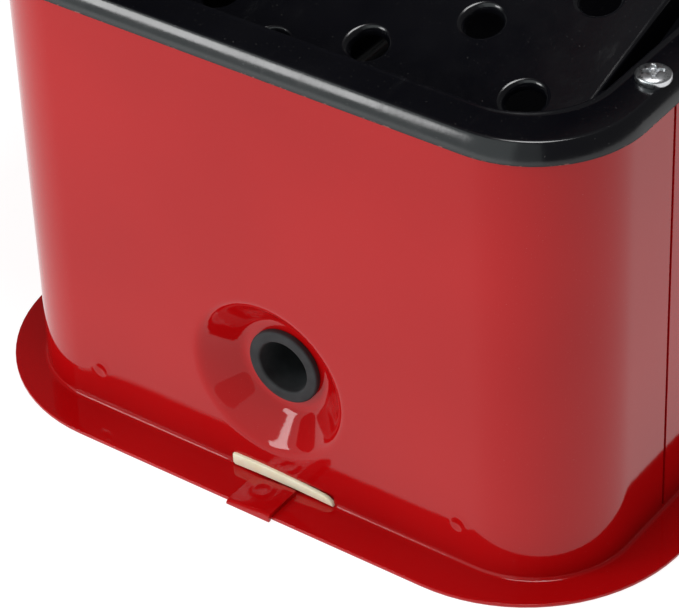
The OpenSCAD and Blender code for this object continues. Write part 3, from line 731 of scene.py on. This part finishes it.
def make_clip():
    """Tab folded over the flange's edge, rising from one side to the other, with a round dimple."""
    (x0, y0, _), (x1, y1, _) = CLIP_LOW, CLIP_HIGH
    flange_x = PAN_LOW.x
    dimple, dimple_r = Vector((-232.7 * MM, -1.0 * MM)), 3.4 * MM
    xs = stations(x0, x1, 1.0 * MM)
    ys = stations(y0, y1, 1.0 * MM)

    def lift(x, y):
        t = (y1 - y) / (y1 - y0)
        rise = 0.35 * MM + 1.5 * MM * min(1, t * 1.25)
        nose = max(0.0, (x0 + 1.2 * MM - x) / (1.2 * MM))
        d = (Vector((x, y)) - dimple).length / dimple_r
        ring = 0.225 * MM * math.exp(-12 * (d - 1) ** 2) if d < 2 else 0
        return PAN_T + rise - 0.8 * MM * nose * nose + ring

    top = [[(x, y, lift(x, y)) for x in xs] for y in ys]
    unders = [0.3 * MM if x < flange_x - 0.2 * MM else PAN_T + 0.02 * MM for x in xs]
    low = [[(x, y, under) for x, under in zip(xs, unders)] for y in ys]
    obj = grid_shell("flange_clip_tab", top, low, lambda i, j: True, MATERIALS["red_paint"])
    bevel = obj.modifiers.new("edge", "BEVEL")
    bevel.width, bevel.segments, bevel.limit_method = 0.25 * MM, 2, "ANGLE"
    sharpen(obj, 50)
    return stand_in(obj, "flange_clip")


# ---- shelf ------------------------------------------------------------------

SHELF_NEAR, SHELF_LENGTH, SHELF_HALF = -29 * MM, 190 * MM, 103 * MM
SHELF_CORNER, SKIRT_H, PLATE_T, PLATE_TOP = 26 * MM, 12 * MM, 1.2 * MM, 3.1 * MM
HOLE_PITCH, ROW_PITCH, FIRST_ROW, NEAR_Y = 62 * MM, 24 * MM, -5 * MM, -81.3 * MM
HOLE_STEPS = 48
# a drain hole's section in mm: radius, and depth below the plate's top face
FLARE = [(8.9, 0.0), (8.5, 0.06), (8.0, 0.32), (7.4, 0.85), (6.9, 1.7), (6.6, 2.8), (6.5, 3.3),
         (6.8, 3.4), (7.3, 3.3), (7.6, 2.4), (8.1, 1.7), (9.0, 1.25), (9.6, 1.2)]


def shelf_holes():
    """Centres of the drain holes in the shelf's own plane, as the CAD shelf has them."""
    far = SHELF_NEAR + SHELF_LENGTH - 12 * MM
    rows = int((far - FIRST_ROW) / ROW_PITCH + 1e-6) + 1
    holes = [(FIRST_ROW - 14 * MM, NEAR_Y + k * HOLE_PITCH) for k in (1.5, 2.5)]
    for i in range(rows):
        start = NEAR_Y + (i % 2) * HOLE_PITCH / 2
        for k in range(4):
            if start + k * HOLE_PITCH < SHELF_HALF - 12 * MM:
                holes.append((FIRST_ROW + i * ROW_PITCH, start + k * HOLE_PITCH))
    return holes


def shelf_outline(inset):
    """Outline with round corners at the drain end and tight ones at the other."""
    near, far, half = SHELF_NEAR + inset, SHELF_NEAR + SHELF_LENGTH - inset, SHELF_HALF - inset
    r, tight = SHELF_CORNER - inset, 4 * MM - inset
    points = []
    for cx, cy, radius, start in ((near + r, -half + r, r, 180), (far - tight, -half + tight, tight, 270),
                                  (far - tight, half - tight, tight, 0), (near + r, half - r, r, 90)):
        for i in range(13):
            a = math.radians(start + 90 * i / 12)
            points.append((cx + radius * math.cos(a), cy + radius * math.sin(a)))
    return points


def make_shelf():
    """Pressed plate: flared holes, a rounded edge and a skirt all round."""
    verts, faces = [], []

    def add_loop(points, z):
        first = len(verts)
        verts.extend(Vector((x, y, z)) for x, y in points)
        return first, len(points)

    def bridge(a, b):
        (i, n), (j, _) = a, b
        for k in range(n):
            m = (k + 1) % n
            faces.append((i + k, i + m, j + m, j + k))

    def circle(centre, r):
        turns = [2 * math.pi * k / HOLE_STEPS for k in range(HOLE_STEPS)]
        return [(centre[0] + r * math.cos(a), centre[1] + r * math.sin(a)) for a in turns]

    def flat_face(loops):
        table = [i + k for i, n in loops for k in range(n)]
        outline = [[verts[i + k] for k in range(n)] for i, n in loops]
        for tri in tessellate_polygon(outline):
            faces.append(tuple(table[k] for k in tri))

    edge, bend = 1.5 * MM, 1.0 * MM
    skirt_low, plate_low = PLATE_TOP - SKIRT_H, PLATE_TOP - PLATE_T
    profile = [(edge * (1 - math.sin(a)), PLATE_TOP - edge * (1 - math.cos(a)))
               for a in [math.radians(90 * k / 5) for k in range(6)]]
    profile += [(0, skirt_low), (PLATE_T, skirt_low),
                (PLATE_T, plate_low - bend), (PLATE_T + bend, plate_low)]
    rim = [add_loop(shelf_outline(inset), z) for inset, z in profile]
    for a, b in zip(rim, rim[1:]):
        bridge(a, b)
    tops, lows = [rim[0]], [rim[-1]]
    for hole in shelf_holes():
        rings = [add_loop(circle(hole, r * MM), PLATE_TOP - d * MM) for r, d in FLARE]
        for a, b in zip(rings, rings[1:]):
            bridge(a, b)
        tops.append(rings[0])
        lows.append(rings[-1])
    flat_face(tops)
    flat_face(lows)
    joint = JOINTS["shelf_tilt"]
    turn = Matrix.Rotation(-math.radians(joint["range_deg"][1]), 4, "Y")
    tilt = Matrix.Translation(joint["pos_m"]) @ turn
    verts = [tilt @ v for v in verts]
    obj = make_object("shelf_plate", verts, faces, MATERIALS["black_enamel"])
    sharpen(obj, 50)
    for polygon in obj.data.polygons:
        if len(polygon.vertices) == 3:
            polygon.use_smooth = False
    return stand_in(obj, "shelf")


# ---- lid --------------------------------------------------------------------

LID_OUT = 6.5 * MM                       # lid's outer face past the casing
LID_T = 1.0 * MM
LID_CUT_Y = 118 * MM                     # the back skirt is shorter past this
LID_LOW = JOINTS["lid_hinge"]["pos_m"][2] - 7 * MM
LID_TOP = RIM_TOP + 68 * MM
SHOULDER = 9 * MM
PANEL_IN, PANEL_STEP, PANEL_SINK = 22 * MM, 6 * MM, 1.6 * MM


def swing_matrix():
    """From the closed lid, in which its shape is worked out, to the open one."""
    joint = JOINTS["lid_hinge"]
    pivot = Vector(joint["pos_m"])
    angle = math.radians(joint["range_deg"][0])
    return Matrix.Translation(pivot) @ Matrix.Rotation(angle, 4, "X") @ Matrix.Translation(-pivot)


def lid_loop(inset, z, corner=None):
    """Loop round the closed lid, at this distance inside its outer face."""
    radius = CORNER_R + LID_OUT - inset if corner is None else corner
    return ring_loop(HALF_L + LID_OUT - inset, HALF_W + LID_OUT - inset, radius, z)


def lid_shoulder(r, k):
    """Inset and height on the shoulder's arc of radius r, at an eighth k of its quarter turn."""
    a = math.radians(90 * k / 8)
    return SHOULDER - r * math.cos(a), LID_TOP - SHOULDER + r * math.sin(a)


def lid_panel_edge(k):
    """Inset and drop of the sunk panel's edge, at a quarter k of its width."""
    t = k / 4
    return PANEL_IN + PANEL_STEP * t, PANEL_SINK * (3 * t * t - 2 * t ** 3)


def make_lid_piece(name, loops, middle, material):
    """Two-sided sheet in the open lid's place; its sides meet at loop middle, as in skin."""
    turn = swing_matrix()
    verts, faces = skin(loops, middle)
    obj = make_object(name, [turn @ p for p in verts], faces, MATERIALS[material])
    sharpen(obj, 50)
    return obj


def make_lid():
    """Pressed pan lid: hemmed edge, tall skirt, rounded shoulder and a sunk stiffening panel."""
    loops = []

    def hem(inset, z):
        points = lid_loop(inset, z)
        for p in points:
            if p.y > LID_CUT_Y:
                p.z += 9 * MM
        loops.append(points)

    hem(LID_T, LID_LOW)
    hem(0.15 * MM, LID_LOW)
    hem(0, LID_LOW + 0.3 * MM)
    loops.append(lid_loop(0, LID_LOW + 20 * MM))
    loops.extend(lid_loop(*lid_shoulder(SHOULDER, k)) for k in range(9))
    loops.append(lid_loop(PANEL_IN, LID_TOP))
    for k in range(1, 5):
        inset, drop = lid_panel_edge(k)
        loops.append(lid_loop(inset, LID_TOP - drop))
    flat = (60 * MM, 100 * MM)
    loops.extend(lid_loop(inset, LID_TOP - PANEL_SINK, 10 * MM) for inset in flat)
    middle = len(loops)
    loops.extend(lid_loop(inset, LID_TOP - PANEL_SINK - LID_T, 10 * MM) for inset in reversed(flat))
    for k in range(4, -1, -1):
        inset, drop = lid_panel_edge(k)
        loops.append(lid_loop(inset, LID_TOP - LID_T - drop))
    loops.extend(lid_loop(*lid_shoulder(SHOULDER - LID_T, k)) for k in range(8, -1, -1))
    loops.append(lid_loop(LID_T, LID_LOW + 20 * MM))
    stand_in(make_lid_piece("lid_pan", loops, middle, "red_paint"), "lid_shell")


def make_lid_coat():
    """Thin black coat over the inside of the lid, from above the hem."""
    sides = []
    for gap in (0.08 * MM, 0.30 * MM):
        depth = LID_T + gap
        side = [lid_loop(depth, z) for z in (LID_LOW + 10 * MM, LID_TOP - SHOULDER)]
        side += [lid_loop(*lid_shoulder(SHOULDER - depth, k)) for k in range(1, 9)]
        side.append(lid_loop(21.7 * MM, LID_TOP - depth))
        side.append(lid_loop(28 * MM, LID_TOP - depth - PANEL_SINK))
        side.append(lid_loop(60 * MM, LID_TOP - depth - PANEL_SINK, 10 * MM))
        sides.append(side)
    outer, inner = sides
    coat = make_lid_piece("lid_inner_coat", inner + outer[::-1], len(inner), "black_enamel")
    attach(coat, "lid")


# ---- fasteners --------------------------------------------------------------

SCREW_HEAD_R, SCREW_HEAD_H = 6.1 * MM, 3.4 * MM
SCREW_R, SCREW_L = 3 * MM, 7 * MM
SCREW_STEPS, DOME_RINGS = 72, 26


def recess_depth(x, y):
    """Depth of the cross recess: four wings that taper to their ends, and a round core."""
    along, across = max(abs(x), abs(y)), min(abs(x), abs(y))
    reach = SCREW_HEAD_R * 0.58
    half = SCREW_HEAD_R * 0.13 * (1.25 - 0.35 * along / reach)
    wing = min(1.0, max(0.0, (half - across) / (0.35 * half) + 0.4))
    end = min(1.0, max(0.0, (reach - along) / (0.12 * reach)))
    core = min(1.0, max(0.0, (SCREW_HEAD_R * 0.30 - math.hypot(x, y)) / (0.06 * SCREW_HEAD_R)))
    deep = SCREW_HEAD_H * (0.62 - 0.25 * along / reach)
    return deep * max(wing * end, core * 0.9)


def screw_parts():
    """Vertices and faces of a pan-head screw with a cross recess, pointing along -Z."""
    turns = [2 * math.pi * i / SCREW_STEPS for i in range(SCREW_STEPS)]
    loops = []
    for k in range(DOME_RINGS + 1):
        r = SCREW_HEAD_R * math.sin(math.radians(90 * k / DOME_RINGS)) if k else 0.0001 * MM
        dome = SCREW_HEAD_H * (0.52 + 0.48 * math.sqrt(max(0.0, 1 - (r / SCREW_HEAD_R) ** 2.6)))
        places = [(r * math.cos(a), r * math.sin(a)) for a in turns]
        loops.append([Vector((x, y, dome - recess_depth(x, y))) for x, y in places])
    for r, z in ((SCREW_HEAD_R, 0.12 * SCREW_HEAD_H), (SCREW_HEAD_R * 0.96, 0), (SCREW_R, 0),
                 (SCREW_R, -SCREW_L), (SCREW_R * 0.7, -SCREW_L)):
        loops.append([Vector((r * math.cos(a), r * math.sin(a), z)) for a in turns])
    return skin(loops)


def make_rim_screws():
    """The four screws on the rim in one piece, each turned its own way."""
    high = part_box("rim_screws")[1]
    x, y = high.x - SCREW_HEAD_R, high.y - SCREW_HEAD_R
    verts, faces = [], []
    base_verts, base_faces = screw_parts()
    for k, (sx, sy) in enumerate(((-1, -1), (-1, 1), (1, -1), (1, 1))):
        turn = Matrix.Rotation(math.radians(215 + 47 * k), 4, "Z")
        matrix = Matrix.Translation((sx * x, sy * y, RIM_TOP)) @ turn
        first = len(verts)
        verts.extend(matrix @ v for v in base_verts)
        faces.extend(tuple(first + i for i in face) for face in base_faces)
    obj = make_object("rim_screw_heads", verts, faces, MATERIALS["zinc_steel"])
    sharpen(obj, 40)
    return stand_in(obj, "rim_screws")


make_end_panel()
make_side_wrap()
make_base_pan()
make_tank()
make_bushing()
make_seal_strip()
make_clip()
make_shelf()
make_lid()
make_lid_coat()
make_rim_screws()

# rounding of the edges of all the other nodes
ROUNDED = {
    0.15 * MM: ("drain_washer", "shelf_pins", "hinge_pins", "stay_pin", "stay_stud", "lid_rivets",
                "rocker_pin", "impeller", "pump_shaft", "lower_bearing", "upper_bearing", "fusible_link"),
    0.3 * MM: ("rim_nuts", "shelf_ledges", "hinge_leaves", "lid_leaves", "stay_guide", "stay_arm_upper",
               "stay_arm_lower", "riser_bracket", "riser_tube", "rotor", "hinge_screws", "guide_screws",
               "handle_screws"),
    0.5 * MM: ("shelf_brackets", "pump_feet", "pump_strainer", "spout_tube", "spout_nozzle", "spout_seal",
               "rocker", "cable_gland", "lid_handle"),
    0.8 * MM: ("spout_socket", "outlet_elbow", "lid_bumpers"),
    1.5 * MM: ("volute", "motor_can", "motor_cap"),
    2.5 * MM: ("switch_box",),
}
for width, names in ROUNDED.items():
    for name in names:
        dress(name, width, 2 if width < 0.4 * MM else 3)

# ---- camera, floor and light ------------------------------------------------

VIEW_AZIMUTH = math.radians(-52.9)
VIEW_ELEVATION = math.radians(37.19)
VIEW_ROLL = math.radians(-2.5)
VIEW_DISTANCE = 1.134
FOCAL = 176.06                           # in mm, on a sensor 36 mm wide
AIM = Vector((-0.2180, -0.0279, 0.0859))


def make_camera():
    """Long-lens camera, placed by its direction and distance from the point it aims at."""
    back = Vector((math.sin(VIEW_AZIMUTH) * math.cos(VIEW_ELEVATION),
                   -math.cos(VIEW_AZIMUTH) * math.cos(VIEW_ELEVATION), math.sin(VIEW_ELEVATION)))
    data = bpy.data.cameras.new("camera")
    data.lens, data.sensor_width = FOCAL, 36
    cam = bpy.data.objects.new("camera", data)
    cam.rotation_mode = "QUATERNION"
    turn = (-back).to_track_quat("-Z", "Y") @ Matrix.Rotation(VIEW_ROLL, 3, "Z").to_quaternion()
    cam.location = AIM + back * VIEW_DISTANCE
    cam.rotation_quaternion = turn
    bpy.context.scene.collection.objects.link(cam)
    bpy.context.scene.camera = cam


def make_floor():
    """White ground that glows a little, so that it stays white wherever it is seen."""
    size = 6.0
    verts = [(-size, -size, 0), (size, -size, 0), (size, size, 0), (-size, size, 0)]
    s = Surface("floor_white", (0.30, 0.30, 0.30), 0.8, Specular_IOR_Level=0.2)
    s.shader.inputs["Emission Color"].default_value = (1, 1, 1, 1)
    s.shader.inputs["Emission Strength"].default_value = 0.86
    obj = make_object("floor", verts, [(0, 1, 2, 3)], s.material, smooth=False)
    obj.location.z = -0.2 * MM           # clear of the casing's underside


def area_light(name, place, aim, size, power, colour=(1, 1, 1)):
    """Rectangular light that reflections show and the camera doesn't."""
    data = bpy.data.lights.new(name, "AREA")
    data.shape = "RECTANGLE"
    data.size, data.size_y = size
    data.energy = power
    data.color = colour
    obj = bpy.data.objects.new(name, data)
    obj.location = place
    obj.rotation_mode = "QUATERNION"
    obj.rotation_quaternion = (Vector(aim) - Vector(place)).to_track_quat("-Z", "Y")
    obj.visible_camera = False
    bpy.context.scene.collection.objects.link(obj)


def make_light():
    """A row of upright cards beside the drain end, a soft box low behind them, and one overhead."""
    world = bpy.data.worlds.new("studio")
    world.use_nodes = True
    world.node_tree.nodes["Background"].inputs["Color"].default_value = (1, 1, 1, 1)
    world.node_tree.nodes["Background"].inputs["Strength"].default_value = 0.12
    bpy.context.scene.world = world
    tint = (0.90, 1.0, 0.99)
    for name, y, width, power in (("left_card", 0.65, 1.1, 4.0), ("left_card_mid", -0.10, 0.4, 1.5),
                                  ("left_card_front", -0.50, 0.4, 0.6)):
        area_light(name, (-0.95, y, 0.61), (0, y, 0.61), (width, 1.2), power, tint)
    area_light("left_box", (-1.50, 1.02, 0.84), (-0.22, 0, 0.05), (0.62, 0.46), 9.0)
    area_light("overhead", (-0.25, -0.10, 1.6), (-0.25, -0.10, 0), (0.6, 0.6), 12.5)
    view = bpy.context.scene.view_settings
    view.view_transform = "Standard"
    view.look = "None"


make_camera()
make_floor()
make_light()
